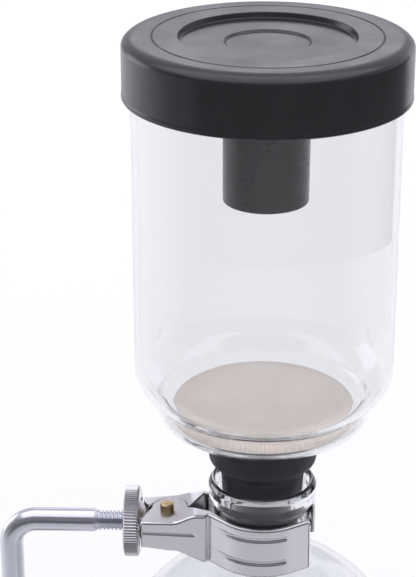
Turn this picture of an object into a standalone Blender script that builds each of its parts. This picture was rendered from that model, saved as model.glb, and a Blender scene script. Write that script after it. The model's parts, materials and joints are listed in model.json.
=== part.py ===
"""Siphon (vacuum) coffee maker, five-cup size, as an assembly of its separate pieces.

The flask's axis is the Z axis and the table is the plane z = 0. The stand's arm runs along -X.
Every size below is in millimetres; MM turns them into Blender's metres.
"""

import math

import bmesh
import bpy
from mathutils import Matrix, Vector

MM = 0.001
GAP = 0.3  # clearance between pieces that touch on the real object

# Driving dimensions: heights above the table
TOTAL_HEIGHT = 378.0
BASE_TOP = 9.0
FLASK_CENTRE = 131.5
ARM_AXIS = 197.4
ARM_TOP = 201.9
ARM_BOTTOM = 191.4
BAND_TOP = 205.0
BAND_BOTTOM = 186.0
NECK_TOP = 217.4
DISH_EQUATOR = 243.7
STEP_HEIGHT = 248.5
SHOULDER_TOP = 262.0
CHAMBER_RIM = 374.5
STEM_END = 84.5

# Driving dimensions: radii and wall thicknesses
CHAMBER_R = 45.0
CHAMBER_WALL = 1.8
DISH_R = 36.8
DISH_DEPTH = 9.4
STEM_R = 5.75
STEM_BORE_R = 4.55
LID_R = 48.0
SLEEVE_R = 14.5
SLEEVE_WALL = 1.2
SLEEVE_END = 321.9
FLASK_R = 55.0
FLASK_WALL = 1.9
NECK_R = 17.2
FILTER_R = 32.0
ROD_R = 4.25
THREAD_R = 3.75
THREAD_PITCH = 1.4
ROD_X = -91.0
ROD_BEND_R = 9.7
ROD_SHOULDER_X = -59.8
THREAD_END_X = -43.4
TONGUE_HALF_HEIGHT = 1.9
PIN_X = -34.2
PIN_R = 2.5
SHEET = 1.0  # thickness of the pressed jaws
JAW_HALF_WIDTH = 9.7
TAIL_X = -43.0
ARM_END_X = -19.3
LOBE_R = 7.2  # round part of the front jaw's flanges, about the pin
CONE_BACK_X = -44.5
BAND_R = 19.1
BAND_BORE_R = 18.0
NUT_R = 12.8
NUT_TEETH = 36
BASE_R = 57.0
BASE_TAIL_R = 28.0
BURNER_R = 38.0
COLLAR_R = 19.0


def clear_scene():
    for obj in list(bpy.data.objects):
        bpy.data.objects.remove(obj)


def make_material(name, colour, roughness, metallic=0.0, alpha=1.0):
    made = bpy.data.materials.new(name)
    made.use_nodes = True
    shader = made.node_tree.nodes["Principled BSDF"]
    shader.inputs["Base Color"].default_value = (*colour, 1.0)
    shader.inputs["Roughness"].default_value = roughness
    shader.inputs["Metallic"].default_value = metallic
    shader.inputs["Alpha"].default_value = alpha
    return made


def make_object(name, bm, surface, smooth_angle=35.0):
    """Turns a bmesh in millimetres into a named object in metres, faces outwards, round parts smooth."""
    bmesh.ops.scale(bm, vec=Vector((MM, MM, MM)), verts=bm.verts)
    bmesh.ops.recalc_face_normals(bm, faces=bm.faces)
    mesh = bpy.data.meshes.new(name)
    bm.to_mesh(mesh)
    bm.free()
    mesh.shade_smooth()
    mesh.set_sharp_from_angle(angle=math.radians(smooth_angle))
    obj = bpy.data.objects.new(name, mesh)
    bpy.context.scene.collection.objects.link(obj)
    if surface is not None:
        mesh.materials.append(surface)
    return obj


def bridge_rings(bm, rings):
    """Quads between neighbouring rings of vertices; a ring of one vertex is a point on the axis."""
    for lower, upper in zip(rings, rings[1:]):
        count = max(len(lower), len(upper))
        for i in range(count):
            j = (i + 1) % count
            corners = [lower[i % len(lower)], lower[j % len(lower)]]
            corners += [upper[j % len(upper)], upper[i % len(upper)]]
            unique = list(dict.fromkeys(corners))
            if len(unique) > 2:
                bm.faces.new(unique)


def revolve(profile, segments=28, centre=(0.0, 0.0)):
    """Solid of revolution about Z: profile is a list of (radius, z). It closes on itself,
    unless both its ends lie on the axis."""
    bm = bmesh.new()
    rings = []
    for radius, z in profile:
        if radius < 1e-6:
            rings.append([bm.verts.new((centre[0], centre[1], z))])
            continue
        ring = []
        for i in range(segments):
            angle = 2 * math.pi * i / segments
            x = centre[0] + radius * math.cos(angle)
            y = centre[1] + radius * math.sin(angle)
            ring.append(bm.verts.new((x, y, z)))
        rings.append(ring)
    if len(rings[0]) > 1:
        rings.append(rings[0])
    bridge_rings(bm, rings)
    return bm


def turn_onto_x(bm, x, z):
    """Carries a shape turned about Z onto the arm's axis: its +Z becomes +X."""
    bmesh.ops.transform(bm, matrix=Matrix.Rotation(math.radians(90), 4, "Y"), verts=bm.verts)
    bmesh.ops.translate(bm, vec=Vector((x, 0, z)), verts=bm.verts)
    return bm


def prism(outline, low, high, axis="Z"):
    """An outline pushed along Z, or an (x, z) outline pushed along Y."""
    def place(a, b, height):
        return (a, b, height) if axis == "Z" else (a, height, b)

    bm = bmesh.new()
    bottom = [bm.verts.new(place(a, b, low)) for a, b in outline]
    top = [bm.verts.new(place(a, b, high)) for a, b in outline]
    bm.faces.new(bottom)
    bm.faces.new(top)
    bridge_rings(bm, [bottom, top])
    return bm


def arc(radius, start, end, steps, centre=(0.0, 0.0)):
    """Points on a circle from start to end degrees, both included."""
    points = []
    for i in range(steps + 1):
        angle = math.radians(start + (end - start) * i / steps)
        points.append((centre[0] + radius * math.cos(angle), centre[1] + radius * math.sin(angle)))
    return points


def ellipse_down(width, depth, centre_z, start, end, steps):
    """(radius, z) points on the lower half of an ellipse, from start to end degrees below its equator."""
    points = []
    for i in range(steps + 1):
        angle = math.radians(start + (end - start) * i / steps)
        points.append((width * math.cos(angle), centre_z - depth * math.sin(angle)))
    return points


def boolean(target, bm, operation):
    """Applies one Boolean with a temporary tool made from a bmesh in millimetres."""
    tool = make_object("tool", bm, None)
    modifier = target.modifiers.new("shape", "BOOLEAN")
    modifier.object = tool
    modifier.operation = operation
    modifier.solver = "EXACT"
    bpy.context.view_layer.update()
    graph = bpy.context.evaluated_depsgraph_get()
    mesh = bpy.data.meshes.new_from_object(target.evaluated_get(graph))
    target.modifiers.clear()
    target.data = mesh
    bpy.data.objects.remove(tool)
    mesh.shade_smooth()
    mesh.set_sharp_from_angle(angle=math.radians(35))
    return target


def cylinder(radius, low, high, segments=24, centre=(0.0, 0.0)):
    return revolve([(0, low), (radius, low), (radius, high), (0, high)], segments, centre)


def tube_along(points, radius, sides):
    """A round wire through a list of points, with flat ends."""
    bm = bmesh.new()
    rings = []
    side = None
    for i, here in enumerate(points):
        before = points[max(i - 1, 0)]
        after = points[min(i + 1, len(points) - 1)]
        ahead = (after - before).normalized()
        if side is None:
            side = ahead.orthogonal().normalized()
        side = (side - ahead * side.dot(ahead)).normalized()
        other = ahead.cross(side)
        ring = []
        for k in range(sides):
            angle = 2 * math.pi * k / sides
            ring.append(bm.verts.new(here + radius * (math.cos(angle) * side + math.sin(angle) * other)))
        rings.append(ring)
    bridge_rings(bm, rings)
    bm.faces.new(rings[0])
    bm.faces.new(rings[-1])
    return bm


# ---------------------------------------------------------------- lid and upper chamber


def build_lid(surface):
    """Moulded lid: two shallow recesses and a fine groove on top, a sleeve below that holds the stem's
    stopper when the lid stands upside down on the table."""
    top = TOTAL_HEIGHT
    corner = 3.5
    under = top - 3.9
    profile = [(0, top - 2.4), (13.9, top - 2.4), (14.5, top - 1.7), (28.5, top - 1.7), (29.6, top)]
    profile += [(37.8, top), (38.1, top - 0.4), (38.4, top)]
    profile += arc(corner, 90, 0, 3, (LID_R - corner, top - corner))
    profile += [(LID_R, 358.3), (CHAMBER_R + 0.5, 358.3), (CHAMBER_R + 0.5, top - 3.1), (31.5, top - 3.1)]
    profile += [(30.5, under), (SLEEVE_R, under), (SLEEVE_R, SLEEVE_END)]
    profile += [(SLEEVE_R - SLEEVE_WALL, SLEEVE_END), (SLEEVE_R - SLEEVE_WALL, under), (0, under)]
    return make_object("lid_cap", revolve(profile, 30), surface)


def chamber_profile():
    """Outer line from the rim down to the stem's end, then the inner line back up."""
    dish_wall = DISH_R - CHAMBER_WALL
    step_angle = 33.3
    inner_r = CHAMBER_R - CHAMBER_WALL
    outer = [(CHAMBER_R, CHAMBER_RIM - 0.9)]
    outer += ellipse_down(CHAMBER_R, 24.6, SHOULDER_TOP, 0, step_angle, 3)
    outer += [(DISH_R + 0.1, STEP_HEIGHT - 0.9)]
    outer += ellipse_down(DISH_R, DISH_DEPTH, DISH_EQUATOR, 0, 75, 4)
    outer += [(7.0, 234.0), (STEM_R, 232.0), (STEM_R, STEM_END + 0.4), (STEM_R - 0.5, STEM_END)]
    inner = [(STEM_BORE_R, STEM_END + 0.4), (STEM_BORE_R, 234.2), (6.5, 236.0)]
    inner += ellipse_down(dish_wall, DISH_DEPTH - CHAMBER_WALL, DISH_EQUATOR, 72, 0, 4)
    inner += [(dish_wall, STEP_HEIGHT - 0.3)]
    inner += ellipse_down(inner_r, 22.8, SHOULDER_TOP, step_angle + 0.5, 0, 3)
    inner += [(inner_r, CHAMBER_RIM - 0.9), (CHAMBER_R - CHAMBER_WALL / 2, CHAMBER_RIM)]
    return outer + inner


def build_chamber(glass):
    return make_object("upper_chamber_glass", revolve(chamber_profile(), 30), glass)


def build_stopper(rubber):
    """Rubber stopper on the stem: a thick round flange that seals on the dish, and a tapered plug."""
    bore = STEM_R + GAP
    profile = [(bore, 231.4), (7.4, 233.3), (9.0, 233.9), (18.0, 234.8), (18.5, 234.2), (18.5, 226.2)]
    profile += [(18.0, 223.6), (16.7, 221.2)]
    profile += [(15.0, 219.4), (14.3, 217.9), (14.3, 213.0), (12.8, 198.1), (12.3, 197.5), (bore, 197.5)]
    return make_object("stem_stopper", revolve(profile, 24), rubber)


def build_filter_disc(steel):
    """Shallow perforated cup that stretches the cloth."""
    profile = [(0, 247.6), (29.3, 247.6), (30.5, 246.6), (30.6, 243.4), (29.8, 243.4), (29.7, 246.2)]
    profile += [(29.0, 246.8), (0, 246.8)]
    disc = make_object("filter_disc", revolve(profile, 24), steel)
    for ring_r, count in ((11.0, 5), (20.5, 9)):
        for i in range(count):
            angle = 2 * math.pi * (i + 0.13) / count
            hole = cylinder(2.2, 246.0, 249.0, 6, (ring_r * math.cos(angle), ring_r * math.sin(angle)))
            boolean(disc, hole, "DIFFERENCE")
    return disc


def build_filter_cloth(cloth):
    """Flannel stretched over the disc, gathered under its rim."""
    outer = [(0, 248.6), (29.4, 248.5), (31.3, 247.7), (FILTER_R, 245.6), (31.7, 242.6), (29.9, 240.6)]
    inner = [(29.5, 241.2), (31.0, 242.9), (31.3, 245.5), (30.8, 247.1), (29.2, 247.9), (0, 248.0)]
    edge = [(24.0, 239.8), (24.0, 240.4)]
    return make_object("filter_cloth", revolve(outer + edge + inner, 24), cloth)


def build_drawstring(cotton):
    profile = [(22.9 + x, 239.8 + z) for x, z in arc(0.6, 0, 288, 4)]
    return make_object("filter_drawstring", revolve(profile, 24), cotton)


def build_spring_seat(steel):
    profile = [(0, 246.5), (3.2, 246.5), (3.2, 245.3), (1.3, 244.9), (1.3, 241.6), (2.2, 241.2)]
    profile += [(2.2, 240.3), (0, 240.3)]
    return make_object("filter_spring_seat", revolve(profile, 14), steel)


def build_filter_spring(steel):
    turns, steps, radius = 8, 8, 2.9
    high, low = 239.5, 214.0
    points = []
    for i in range(turns * steps + 1):
        share = i / (turns * steps)
        angle = 2 * math.pi * turns * share
        points.append(Vector((radius * math.cos(angle), radius * math.sin(angle), high + (low - high) * share)))
    return make_object("filter_spring", tube_along(points, 0.4, 4), steel)


def build_bead_chain(steel):
    """Ball chain down the stem: balls on a thin wire."""
    top, bottom, pitch = 213.2, 93.2, 8.0
    count = int((top - bottom) / pitch)
    profile = [(0, top)]
    for i in range(count):
        middle = top - pitch * (i + 0.5)
        profile += [(0.35, middle + 2.2), (1.5, middle + 0.8), (1.5, middle - 0.8), (0.35, middle - 2.2)]
    profile += [(0, top - pitch * count)]
    return make_object("filter_ball_chain", revolve(profile, 6), steel)


def build_chain_hook(steel):
    """Wire hook that pulls the chain tight and catches the stem's lower edge."""
    under = STEM_END - 1.2
    grip = STEM_R + 0.9
    path = [(0, 92.8), (0, 88.0), (0.6, under + 1.2), (2.2, under), (grip - 1.0, under - 0.3)]
    path += [(grip, under + 0.8), (grip, under + 6.0)]
    return make_object("chain_hook", tube_along([Vector((x, 0, z)) for x, z in path], 0.5, 8), steel)


# ---------------------------------------------------------------- flask and clamp


def flask_profile():
    """Round flask with a rolled lip: outer line up from the bottom, inner line back down."""
    def sphere(radius, low_angle, high_angle, steps=10):
        return [(radius * math.cos(math.radians(a)), FLASK_CENTRE + radius * math.sin(math.radians(a)))
                for a in [low_angle + (high_angle - low_angle) * i / steps for i in range(steps + 1)]]

    inner_r = NECK_R - FLASK_WALL
    lip_r = 2.2
    outer = [(0, FLASK_CENTRE - FLASK_R)] + sphere(FLASK_R, -80, 69.1)
    outer += [(18.3, 184.4), (17.4, 186.2), (NECK_R, 188.5), (NECK_R, 212.2)]
    lip = arc(lip_r, -70, 215, 6, (17.0, NECK_TOP - lip_r))
    inner = [(inner_r, 187.0), (15.9, 184.0)]
    inner += sphere(FLASK_R - FLASK_WALL, 71.2, -80) + [(0, FLASK_CENTRE - FLASK_R + FLASK_WALL)]
    return outer + lip + inner


def build_flask(glass):
    return make_object("flask_glass", revolve(flask_profile(), 30), glass)


def pin_hole():
    return cylinder(PIN_R + 0.2, 180, 215, 20, (PIN_X, 0))


def jaw(name, plan, side, hollow_plan, hollow_side, sunk_disc, grooves, steel):
    """A pressed jaw: the plan and side outlines give its outer shape, and their hollows leave sheet metal.
    sunk_disc is metal left standing inside the hollow. The neck's bore, the pin's hole and the pressed
    grooves are cut last."""
    piece = make_object(name, prism(plan, 150, 250), steel)
    boolean(piece, prism(side, -40, 40, "Y"), "INTERSECT")
    hollow = make_object("hollow", prism(hollow_plan, 150, 250), None)
    boolean(hollow, prism(hollow_side, -40, 40, "Y"), "INTERSECT")
    if sunk_disc is not None:
        boolean(hollow, sunk_disc, "DIFFERENCE")
    tool = bmesh.new()
    tool.from_mesh(hollow.data)
    bmesh.ops.scale(tool, vec=Vector((1 / MM, 1 / MM, 1 / MM)), verts=tool.verts)
    bpy.data.objects.remove(hollow)
    boolean(piece, tool, "DIFFERENCE")
    boolean(piece, cylinder(BAND_BORE_R, 150, 250, 40), "DIFFERENCE")
    boolean(piece, pin_hole(), "DIFFERENCE")
    for groove in grooves:
        boolean(piece, groove, "DIFFERENCE")
    return piece


def band_groove(height, start, end, depth_r=BAND_R + 0.25, radius=0.8):
    """Cutter for a pressed groove round the band."""
    points = [Vector((x, y, height)) for x, y in arc(depth_r, start, end, 9)]
    return tube_along(points, radius, 6)


def lobe(radius, start, end, steps):
    """Round edge of a flange about the pin."""
    return arc(radius, start, end, steps, (PIN_X, 0))


def side_outline(top_line, bottom_line):
    return top_line + bottom_line[::-1]


def top_lines():
    """Outer and inner height of both jaws' upper flanges along X."""
    outer = [(-60, ARM_TOP), (-31.5, ARM_TOP), (-24.0, BAND_TOP), (40, BAND_TOP)]
    inner = [(-60, ARM_TOP - SHEET), (-31.1, ARM_TOP - SHEET), (-23.6, BAND_TOP - SHEET), (-13, BAND_TOP - SHEET)]
    return outer, inner


def build_front_jaw(steel):
    wide = JAW_HALF_WIDTH
    crease = (-18.5, -8.1)
    plan = [(TAIL_X, -wide), (ARM_END_X, -wide), crease] + arc(BAND_R, 221, 335, 14)
    plan += [(14.5, -6.8), (0, -8), (-12, -4), (-20.0, -2.0)] + lobe(LOBE_R, 20, 137, 9)
    plan += [(-39.5, 1.3), (TAIL_X, -7.3)]
    hollow = [(-46, SHEET - wide), (-20.5, SHEET - wide), (-20.5, 12), (-46, 12)]
    top, inner_top = top_lines()
    bottom = [(-60, ARM_BOTTOM), (-31.5, ARM_BOTTOM), (-26.5, 188.9), (-22.0, 186.5), (-19.0, BAND_BOTTOM)]
    bottom.append((40, BAND_BOTTOM))
    inner_bottom = [(-60, ARM_BOTTOM + SHEET), (-31.2, ARM_BOTTOM + SHEET), (-26.1, 189.9), (-21.7, 187.5)]
    inner_bottom.append((-13, 187.0))
    side = side_outline(top, bottom)
    hollow_side = side_outline(inner_top, inner_bottom)
    rib = tube_along([Vector((-48, -wide - 0.25, 198.1)), Vector((-23.8, -wide - 0.25, 197.3))], 0.8, 8)
    grooves = [band_groove(200.6, 228, 299), band_groove(191.3, 228, 299), rib]
    return jaw("front_jaw", plan, side, hollow, hollow_side, None, grooves, steel)


def build_rear_jaw(steel):
    """Flush with the front jaw, but sunk by a sheet's thickness under the front jaw's lobes."""
    wide = JAW_HALF_WIDTH
    nest = SHEET + GAP
    plan = [(TAIL_X, wide), (ARM_END_X, wide), (-18.5, 8.1)] + arc(BAND_R, 139, -12, 17)
    plan += [(14.6, -3.1), (0, 6), (-12, 5), (-21.5, 6.0), (-26.8, 3.1)]
    plan += lobe(5.6, 25, -160, 6) + [(-39.8, 1.8), (TAIL_X, 6.5)]
    hollow = [(-46, wide - SHEET), (-20.5, wide - SHEET), (-20.5, -12), (-46, -12)]
    top, inner_top = top_lines()
    bottom = [(-60, ARM_BOTTOM + nest), (-26.6, ARM_BOTTOM + nest), (-23.5, 188.5), (-21.5, 186.5)]
    bottom += [(-19.0, BAND_BOTTOM), (8.0, BAND_BOTTOM), (14.0, 193.6), (40, 193.6)]
    inner_bottom = [(-60, ARM_BOTTOM + nest + SHEET), (-26.2, ARM_BOTTOM + nest + SHEET), (-23.1, 189.5)]
    inner_bottom += [(-21.2, 187.5), (-13, 187.0)]
    side = side_outline(top, bottom)
    hollow_side = side_outline(inner_top, inner_bottom)
    sunk_top = ARM_TOP - nest
    sunk_disc = cylinder(LOBE_R + GAP + SHEET, sunk_top - SHEET, 215, 32, (PIN_X, 0))
    recess = cylinder(LOBE_R + GAP, sunk_top, 215, 32, (PIN_X, 0))
    grooves = [band_groove(200.6, 132, 61), band_groove(191.3, 132, 61), recess]
    return jaw("rear_jaw", plan, side, hollow, hollow_side, sunk_disc, grooves, steel)


def build_pivot_pin(brass):
    profile = [(0, 190.0), (3.2, 190.0), (3.4, 190.3), (3.4, 191.1), (PIN_R, 191.1), (PIN_R, 204.3)]
    profile += [(2.2, 204.6), (0, 204.6)]
    return make_object("pivot_pin", revolve(profile, 20, (PIN_X, 0)), brass)


def build_wedge_cone(steel):
    """Cone on the thread that spreads the jaws' tails as the nut pushes it in."""
    profile = [(4.1, 0), (7.9, 0), (7.9, 0.5), (4.5, 2.9), (4.1, 2.9)]
    return make_object("wedge_cone", turn_onto_x(revolve(profile, 24), CONE_BACK_X, ARM_AXIS), steel)


def build_thumb_nut(steel):
    """Knurled thumb nut with chamfered faces, cupped on the side that takes the cone."""
    thick = 6.0
    cup_depth = 1.0
    tooth_depth = 0.5
    valley = NUT_R - tooth_depth
    bm = bmesh.new()
    rings = []
    count = NUT_TEETH * 2
    for radius, tooth, x in ((4.1, 0, 0), (11.5, 0, 0), (valley, tooth_depth, 0.6),
                             (valley, tooth_depth, thick - 0.6), (11.5, 0, thick), (8.6, 0, thick),
                             (8.6, 0, thick - cup_depth), (4.1, 0, thick - cup_depth)):
        ring = []
        for i in range(count):
            angle = 2 * math.pi * i / count
            r = radius + (tooth if i % 2 else 0)
            ring.append(bm.verts.new((x, r * math.cos(angle), r * math.sin(angle))))
        rings.append(ring)
    bridge_rings(bm, rings + [rings[0]])
    back = CONE_BACK_X - GAP + cup_depth - thick
    bmesh.ops.translate(bm, vec=Vector((back, 0, ARM_AXIS)), verts=bm.verts)
    return make_object("thumb_nut", bm, steel)


def rod_path():
    """Stations of the bent rod from its lower end: (centre, half height, half width, squareness)."""
    foot = ((2.9, 3.0), (BASE_TOP + 0.1, 3.0), (BASE_TOP + GAP, ROD_R))
    stations = [(Vector((ROD_X, 0, z)), r, r, 2.0) for z, r in foot]
    bend_z = ARM_AXIS - ROD_BEND_R
    stations += [(Vector((ROD_X, 0, 100.0)), ROD_R, ROD_R, 2.0)]
    for x, z in arc(ROD_BEND_R, 180, 90, 6, (ROD_X + ROD_BEND_R, bend_z)):
        stations.append((Vector((x, 0, z)), ROD_R, ROD_R, 2.0))
    stations.append((Vector((ROD_SHOULDER_X - 0.5, 0, ARM_AXIS)), ROD_R, ROD_R, 2.0))
    stations.append((Vector((ROD_SHOULDER_X, 0, ARM_AXIS)), THREAD_R - 0.1, THREAD_R - 0.1, 2.0))
    turns = int((THREAD_END_X - ROD_SHOULDER_X) / THREAD_PITCH)
    for i in range(turns):
        start = ROD_SHOULDER_X + 0.2 + i * THREAD_PITCH
        for offset, radius in ((0.3, THREAD_R - 0.75), (0.9, THREAD_R)):
            stations.append((Vector((start + offset, 0, ARM_AXIS)), radius, radius, 2.0))
    stations.append((Vector((THREAD_END_X, 0, ARM_AXIS)), THREAD_R - 0.6, THREAD_R - 0.6, 2.0))
    flat = TONGUE_HALF_HEIGHT
    stations.append((Vector((THREAD_END_X + 0.6, 0, ARM_AXIS)), flat, THREAD_R - 0.3, 5.0))
    tongue_end = PIN_X + 4.6
    for x in (PIN_X, PIN_X + 2.2, PIN_X + 3.6, tongue_end - 0.3):
        reach = max(x - PIN_X, 0.0)
        width = math.sqrt(4.6 ** 2 - reach ** 2)
        stations.append((Vector((x, 0, ARM_AXIS)), flat, min(width, 3.8), 5.0))
    return stations


def build_support_rod(steel):
    """One bar: threaded foot, bent leg, threaded arm, and a flattened tongue for the pivot pin."""
    sides = 14
    bm = bmesh.new()
    rings = []
    stations = rod_path()
    for i, (centre, half_height, half_width, square) in enumerate(stations):
        before, after = stations[max(i - 1, 0)][0], stations[min(i + 1, len(stations) - 1)][0]
        ahead = (after - before).normalized()
        across = Vector((0, 1, 0))
        up = ahead.cross(across)
        ring = []
        for k in range(sides):
            angle = 2 * math.pi * (k + 0.5) / sides
            c, s = math.cos(angle), math.sin(angle)
            width = half_width * math.copysign(abs(c) ** (2 / square), c)
            height = half_height * math.copysign(abs(s) ** (2 / square), s)
            ring.append(bm.verts.new(centre + width * across + height * up))
        rings.append(ring)
    bridge_rings(bm, rings)
    bm.faces.new(rings[0])
    bm.faces.new(rings[-1])
    rod = make_object("support_rod", bm, steel)
    return boolean(rod, cylinder(PIN_R + 0.2, 190, 204, 20, (PIN_X, 0)), "DIFFERENCE")


# ---------------------------------------------------------------- stand


def build_handle(plastic):
    """Moulded grip on the rod, flared at its foot, deeper on the outer side."""
    sides = 20
    sections = [(BASE_TOP + GAP, -3.0, 19.0, 17.0), (12.5, -3.0, 19.0, 17.0), (20.0, -3.4, 14.6, 13.0),
                (34.0, -3.8, 13.2, 11.4), (60.0, -4.2, 14.0, 11.6), (90.0, -4.4, 14.6, 12.0),
                (120.0, -3.4, 13.2, 11.2), (140.0, -2.0, 10.8, 9.8), (149.0, -0.8, 8.8, 8.6),
                (152.0, -0.2, 6.8, 6.8)]
    bm = bmesh.new()
    rings = []
    for z, shift, half_x, half_y in sections:
        ring = []
        for k in range(sides):
            angle = 2 * math.pi * k / sides
            c, s = math.cos(angle), math.sin(angle)
            x = half_x * math.copysign(abs(c) ** 0.85, c)
            y = half_y * math.copysign(abs(s) ** 0.85, s)
            ring.append(bm.verts.new((ROD_X + shift + x, y, z)))
        rings.append(ring)
    bridge_rings(bm, rings)
    bm.faces.new(rings[0])
    bm.faces.new(rings[-1])
    grip = make_object("handle_grip", bm, plastic)
    boolean(grip, cylinder(ROD_R + GAP, 0, 200, 24, (ROD_X, 0)), "DIFFERENCE")
    screw_hole = turn_onto_x(revolve([(0, 0), (2.3, 0), (2.3, 30), (0, 30)], 16), ROD_X - 34.5, 30.0)
    return boolean(grip, screw_hole, "DIFFERENCE")


def build_handle_screw(steel):
    """Set screw that locks the grip on the rod."""
    profile = [(0, 0), (2.0, 0), (2.0, 9.6), (1.2, 10.4), (0, 10.4)]
    screw = turn_onto_x(revolve(profile, 16), ROD_X - 15.2, 30.0)
    piece = make_object("handle_set_screw", screw, steel)
    slot = prism([(-0.4, -4), (0.4, -4), (0.4, 4), (-0.4, 4)], -1, 1)
    bmesh.ops.transform(slot, matrix=Matrix.Rotation(math.radians(90), 4, "Y"), verts=slot.verts)
    bmesh.ops.translate(slot, vec=Vector((ROD_X - 15.2, 0, 30.0)), verts=slot.verts)
    return boolean(piece, slot, "DIFFERENCE")


def teardrop(inset, big_steps=30, small_steps=12):
    """Outline round the burner's seat and the handle's foot, drawn in by inset."""
    big, small = BASE_R - inset, BASE_TAIL_R - inset
    lean = math.degrees(math.acos((BASE_R - BASE_TAIL_R) / -ROD_X))
    points = arc(big, lean - 180, 180 - lean, big_steps)
    points += arc(small, 180 - lean, 180 + lean, small_steps, (ROD_X, 0))
    return points


def build_base_plate(steel):
    """Pressed steel base, open below, with a rounded top edge."""
    steps = [(0, 0.8), (0, 6.2), (0.8, 8.2), (2.8, BASE_TOP)]
    inner = [(4.0, 7.5), (1.6, 7.5), (1.5, 0.8)]
    bm = bmesh.new()
    rings = [[bm.verts.new((x, y, z)) for x, y in teardrop(inset)] for inset, z in inner]
    outer = [[bm.verts.new((x, y, z)) for x, y in teardrop(inset)] for inset, z in steps]
    bridge_rings(bm, rings + outer)
    bm.faces.new(rings[0])
    bm.faces.new(outer[-1])
    base = make_object("base_plate", bm, steel)
    return boolean(base, cylinder(3.0 + GAP, -5, 20, 20, (ROD_X, 0)), "DIFFERENCE")


def build_base_pad(rubber):
    return make_object("base_pad", prism(teardrop(1.5 + GAP), 0, 2.2), rubber)


def build_rod_washer(steel):
    profile = [(3.0 + GAP, 6.4), (7.5, 6.4), (7.5, 7.2), (3.0 + GAP, 7.2)]
    return make_object("rod_washer", revolve(profile, 16, (ROD_X, 0)), steel)


def build_rod_nut(steel):
    bm = bmesh.new()
    rings = []
    bore = 3.0 + GAP
    for radius, z, hexagon in ((bore, 2.6, False), (5.8, 2.6, True), (5.8, 6.1, True), (bore, 6.1, False)):
        outline = arc(radius, 0, 330, 11)
        if hexagon:
            flat = math.cos(math.radians(30))
            outline = [(x * (1 if i % 2 == 0 else flat), y * (1 if i % 2 == 0 else flat))
                       for i, (x, y) in enumerate(outline)]
        rings.append([bm.verts.new((ROD_X + x, y, z)) for x, y in outline])
    bridge_rings(bm, rings + [rings[0]])
    return make_object("rod_nut", bm, steel)


# ---------------------------------------------------------------- burner


def build_burner_glass(glass):
    floor = BASE_TOP + GAP
    outer = [(0, floor), (30, floor), (35.5, floor + 1.6), (BURNER_R, floor + 6.0), (BURNER_R, 24.5)]
    outer += [(36.2, 30.0), (31.0, 35.2), (23.5, 38.6), (18.2, 40.0), (17.0, 41.2), (17.0, 47.0)]
    inner = [(15.2, 47.0), (15.2, 40.4), (17.0, 38.2), (22.8, 36.4), (29.6, 33.2), (34.2, 28.9), (35.8, 24.0)]
    inner += [(35.8, floor + 6.6), (34.0, floor + 3.6), (29.5, floor + 2.4), (0, floor + 2.4)]
    return make_object("burner_glass", revolve(outer + inner, 26), glass)


def build_burner_seal(rubber):
    profile = [(15.2, 47.3), (17.0, 47.3), (17.0, 48.2), (15.2, 48.2)]
    return make_object("burner_seal", revolve(profile, 24), rubber)


def build_burner_collar(steel):
    profile = [(5.1, 50.4), (17.8, 50.4), (COLLAR_R, 49.6), (COLLAR_R, 42.2), (17.4, 42.2)]
    profile += [(17.4, 48.5), (5.1, 48.5)]
    return make_object("burner_collar", revolve(profile, 28), steel)


def build_wick_tube(steel):
    profile = [(4.0, 45.0), (4.8, 45.0), (4.8, 50.7), (8.0, 50.7), (8.0, 51.6), (4.8, 52.0)]
    profile += [(4.8, 54.5), (4.0, 54.5)]
    return make_object("wick_tube", revolve(profile, 16), steel)


def build_wick(cotton):
    profile = [(0, 12.2), (3.3, 12.2), (3.7, 13.5), (3.7, 57.2), (3.1, 58.0), (0, 58.2)]
    return make_object("burner_wick", revolve(profile, 14), cotton)


def build_snuffer(steel):
    """Snuffer cap with a small knob."""
    outer = [(0, 65.0), (2.6, 64.8), (3.6, 63.8), (3.5, 62.6), (2.2, 61.8), (2.4, 61.3), (8.0, 60.8)]
    outer += [(10.2, 59.6), (10.8, 57.8), (10.8, 51.6), (11.8, 51.3), (11.8, 50.7)]
    inner = [(9.8, 50.7), (9.8, 57.6), (9.0, 59.1), (0, 59.6)]
    return make_object("snuffer_cap", revolve(outer + inner, 24), steel)


def hang_on_joint(name, point, pieces):
    """An empty on a joint's axis that carries the pieces which move with it."""
    empty = bpy.data.objects.new(name, None)
    empty.location = Vector(point) * MM
    bpy.context.scene.collection.objects.link(empty)
    for piece in pieces:
        piece.parent = empty
        piece.matrix_parent_inverse = Matrix.Translation(-empty.location)
    return empty


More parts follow.
